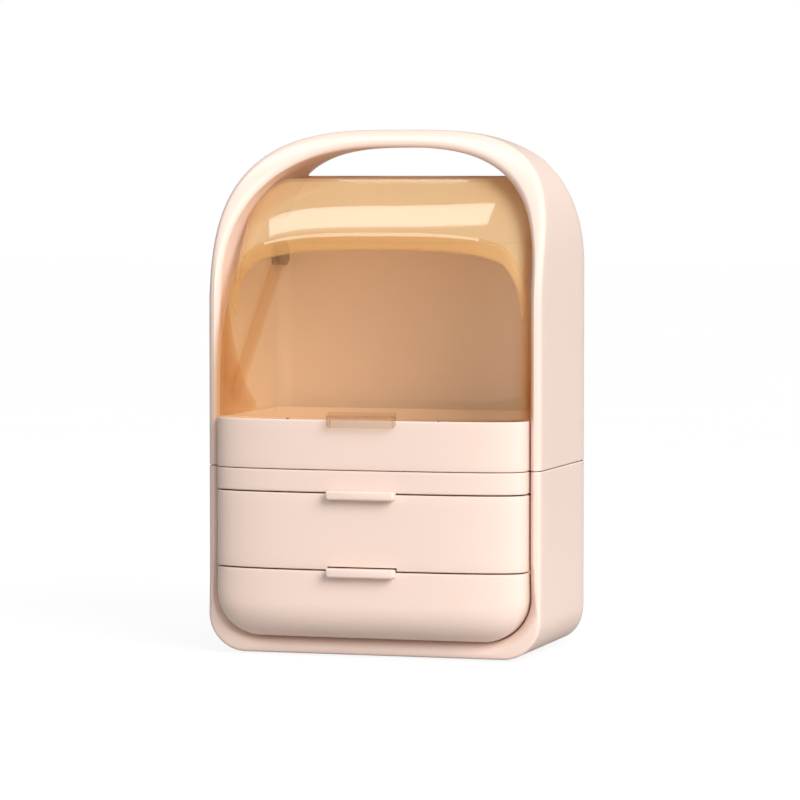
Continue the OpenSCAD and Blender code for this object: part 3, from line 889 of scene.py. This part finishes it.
def sheet_mesh(rows, t, rim=0.9):
    pts = np.stack(rows)
    nr, nc = pts.shape[:2]
    me = bpy.data.meshes.new("work")
    me.from_pydata(metres(pts).tolist(), [], grid_faces(nr, nc))
    me = applied(me, ("SOLIDIFY", {"thickness": t / 1000, "offset": -1.0, "use_even_offset": False,
                                    "use_quality_normals": True}))
    bm = bmesh.new()
    bm.from_mesh(me)
    bmesh.ops.recalc_face_normals(bm, faces=bm.faces)
    sharp = [e for e in bm.edges if len(e.link_faces) == 2 and
             e.link_faces[0].normal.angle(e.link_faces[1].normal, 0) > math.radians(62)]
    bmesh.ops.bevel(bm, geom=sharp, offset=rim / 1000, segments=3, profile=0.5, affect="EDGES", clamp_overlap=True)
    bm.to_mesh(me)
    bm.free()
    return me


side = [105, 100, 94, 88, 82, 75, 68, 61, 54, 48, 42, 37, 33, 30]
cols = [(-CA, d) for d in side] + front_cols(CA, CD, 110) + [(CA, d) for d in side[::-1]]
tz = np.array([top_z(x, d) for x, d in cols])
cx, cs = np.array([c[0] for c in cols]), np.array([c[1] for c in cols])
rows = []
for k in np.linspace(0, 1, 31):
    z = 184.2 + (tz - 184.2) * k
    rows.append(np.column_stack([cx, dome_y(z) + cs, z]))
me = sheet_mesh(rows, AMBER_T)
finish_piece("amber_cover", me, amber, "cover", "front_cover", slot="amber_sheet", angle=50)

a = CA - 5.5
cols = front_cols(a, CD - 2, 110)
cx, cs = np.array([c[0] for c in cols]), np.array([c[1] for c in cols])
hi = arch_z(cx) - 0.35
hi = -2.2 * np.log(np.exp(-(ROOF - 300) / 2.2) + np.exp(-(hi - 300) / 2.2)) + 300   # eases the corner under the arch
lo = np.array([min(h - 4, top_z(x, s) - 12) for h, (x, s) in zip(hi, cols)])
rows = []
ER = 1.6                                          # rounding between the front and the roof
for k in np.linspace(0, 1, 15):
    z = lo + (hi - ER - lo) * k
    rows.append(np.column_stack([cx, dome_y(z) + 5 + cs, z]))
y_e = dome_y(hi - ER) + 5 + cs
for c in quarter(6)[1:]:
    rows.append(np.column_stack([cx, y_e + ER * 1.15 * (1 - math.cos(c)) + ER * 0.95 * math.sin(c) * 0.6,
                                 hi - ER * (1 - math.sin(c))]))
y_r = rows[-1][:, 1]
for k in np.linspace(0, 1, 9)[1:]:
    rows.append(np.column_stack([cx, y_r + (roof_end(hi) - y_r) * k, hi]))
me = sheet_mesh(rows, AMBER_T)
finish_piece("amber_canopy", me, hood, "root", "canopy", slot="amber_sheet", angle=50)


# ---------------------------------------------------------------- hub caps
def hub(name, s, node):
    turned = [(0.0, 113.85), (3.0, 113.75), (3.4, 114.2), (4.2, 114.2), (4.6, 113.65), (7.4, 113.6),
              (8.6, 113.8), (9.3, 114.4), (9.5, 115.2), (9.5, 116.6), (9.3, 117.0), (8.9, 117.2),
              (4.0, 117.2), (4.0, 126.0), (0.0, 126.0)]
    return lathe(name, turned, s, boss, node)


def lathe(name, prof, s, mat, *nodes):
    """Turned piece on the hub's axis from (radius, x) pairs."""
    n = 64
    pts = []
    for r, x in prof:
        for i in range(n):
            t = 2 * math.pi * i / n
            pts.append((s * x, HUB_Y + r * math.cos(t), HUB_Z + r * math.sin(t)))
    faces = grid_faces(len(prof), n, wrap_c=True)
    return make(name, pts, faces, mat, "root", *nodes, angle=30)


hub("hub_cap_right", 1, "pivot_cap_right")
hub("hub_cap_left", -1, "pivot_cap_left")
for s_, where in ((1, "right"), (-1, "left")):
    lathe("hub_boss_" + where, [(4.06, 124.2), (4.06, 120.5), (4.4, 120.25), (9.0, 120.25), (9.4, 120.5), (9.5, 121.0),
                                (9.5, 124.3), (4.06, 124.2)], s_, boss)

# ---------------------------------------------------------------- carried-over CAD pieces
finish_of = {
    "bay_back_panel": bay, "drawer_shelf": bay, "left_rails": bay, "right_rails": bay,
    "drawer_buffers": rubber, "cover_pads": rubber, "feet": rubber, "case_screws": steel,
    "cover_arm_left": arm, "cover_arm_right": arm,
    "upper_drawer_box": inner,
}
for node, mat in finish_of.items():
    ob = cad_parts[node]
    for k in range(max(1, len(ob.material_slots))):
        if k < len(ob.material_slots):
            ob.material_slots[k].material = mat
        else:
            ob.data.materials.append(mat)

# ---------------------------------------------------------------- stage and light
t = Tree("pale_floor")
p = t.add("ShaderNodeBsdfPrincipled")
pale = t.ramp(t.noise(3.0, 3.0, 0.5), 0.3, 0.7, (0.46, 0.455, 0.45, 1), (0.48, 0.475, 0.47, 1))
t.link(pale, p.inputs["Base Color"])
p.inputs["Roughness"].default_value = 0.9
p.inputs["Specular IOR Level"].default_value = 0.1
# to the camera the floor is a lit white sweep that takes only a faint shadow
sweep = t.add("ShaderNodeEmission")
sweep.inputs["Color"].default_value = (1, 1, 1, 1)
sweep.inputs["Strength"].default_value = 1.2
lit_floor, path_kind, some = t.add("ShaderNodeMixShader"), t.add("ShaderNodeLightPath"), t.add("ShaderNodeMath")
some.operation = "MULTIPLY"
some.inputs[1].default_value = 0.75
t.link(path_kind.outputs["Is Camera Ray"], some.inputs[0])
t.link(some.outputs[0], lit_floor.inputs["Fac"])
t.link(p.outputs[0], lit_floor.inputs[1])
t.link(sweep.outputs[0], lit_floor.inputs[2])
t.link(lit_floor.outputs[0], t.out.inputs["Surface"])
me = bpy.data.meshes.new("floor")
me.from_pydata([(-14, -14, 0), (14, -14, 0), (14, 14, 0), (-14, 14, 0)], [], [(0, 1, 2, 3)])
me.materials.append(t.mat)
floor = bpy.data.objects.new("floor", me)
bpy.context.scene.collection.objects.link(floor)


def softbox(name, at, to, size_x, size_y, power, colour=(1, 1, 1)):
    d = bpy.data.lights.new(name, "AREA")
    d.shape = "RECTANGLE"
    d.size, d.size_y = size_x, size_y
    d.energy = power
    d.color = colour
    ob = bpy.data.objects.new(name, d)
    ob.location = at
    ob.rotation_euler = (Vector(to) - Vector(at)).to_track_quat("-Z", "Y").to_euler()
    bpy.context.scene.collection.objects.link(ob)
    return ob


KEY = Vector((0.68, -0.58, 0.50)).normalized()
sun = bpy.data.lights.new("key", "SUN")
sun.energy = 2.9
sun.angle = math.radians(36)
sun.color = (1.0, 0.99, 0.98)
key = bpy.data.objects.new("key", sun)
key.rotation_euler = (-KEY).to_track_quat("-Z", "Y").to_euler()
bpy.context.scene.collection.objects.link(key)
key.visible_glossy = False
top_light = softbox("top", (0.05, 0.25, 1.65), (0.0, 0.02, 0.36), 1.1, 0.9, 4.0, (1.0, 0.98, 0.95))
top_light.visible_glossy = False
softbox("strip", (-0.57, -0.20, 1.85), (-0.57, -0.2, 0.3), 1.0, 0.28, 4.2, (0.84, 0.97, 1.0))

world = bpy.data.worlds.new("studio")
bpy.context.scene.world = world
world.use_nodes = True
nt = world.node_tree
nt.nodes.clear()


def wnode(kind, **settings):
    n = nt.nodes.new(kind)
    for key_, value in settings.items():
        setattr(n, key_, value)
    return n


wo = wnode("ShaderNodeOutputWorld")
show, lit = wnode("ShaderNodeBackground"), wnode("ShaderNodeBackground")
show.inputs["Color"].default_value = (1, 1, 1, 1)
lit.inputs["Color"].default_value = (1, 0.99, 0.98, 1)
lp, mx = wnode("ShaderNodeLightPath"), wnode("ShaderNodeMixShader")
# a studio that is bright on the right, fair in front and dim and warm on the left
sep = wnode("ShaderNodeSeparateXYZ")
nt.links.new(wnode("ShaderNodeTexCoord").outputs["Generated"], sep.inputs[0])


def rising(source, lo, hi, a, b):
    r = wnode("ShaderNodeMapRange")
    r.interpolation_type = "SMOOTHSTEP"
    for socket, value in (("From Min", lo), ("From Max", hi), ("To Min", a), ("To Max", b)):
        r.inputs[socket].default_value = value
    nt.links.new(source, r.inputs["Value"])
    return r.outputs["Result"]


across = rising(sep.outputs["X"], -0.8, 0.8, 0.09, 0.56)
ahead = rising(sep.outputs["Y"], -1.0, 0.0, 0.32, 0.0)
total = wnode("ShaderNodeMath", operation="ADD")
nt.links.new(across, total.inputs[0])
nt.links.new(ahead, total.inputs[1])
nt.links.new(total.outputs[0], lit.inputs["Strength"])
nt.links.new(lp.outputs["Is Camera Ray"], mx.inputs["Fac"])
nt.links.new(lit.outputs[0], mx.inputs[1])
nt.links.new(show.outputs[0], mx.inputs[2])
nt.links.new(mx.outputs[0], wo.inputs["Surface"])

scene = bpy.context.scene
scene.view_settings.view_transform = "Standard"
scene.view_settings.look = "None"
scene.view_settings.exposure = 0.0
scene.cycles.max_bounces = 10
scene.cycles.transparent_max_bounces = 24
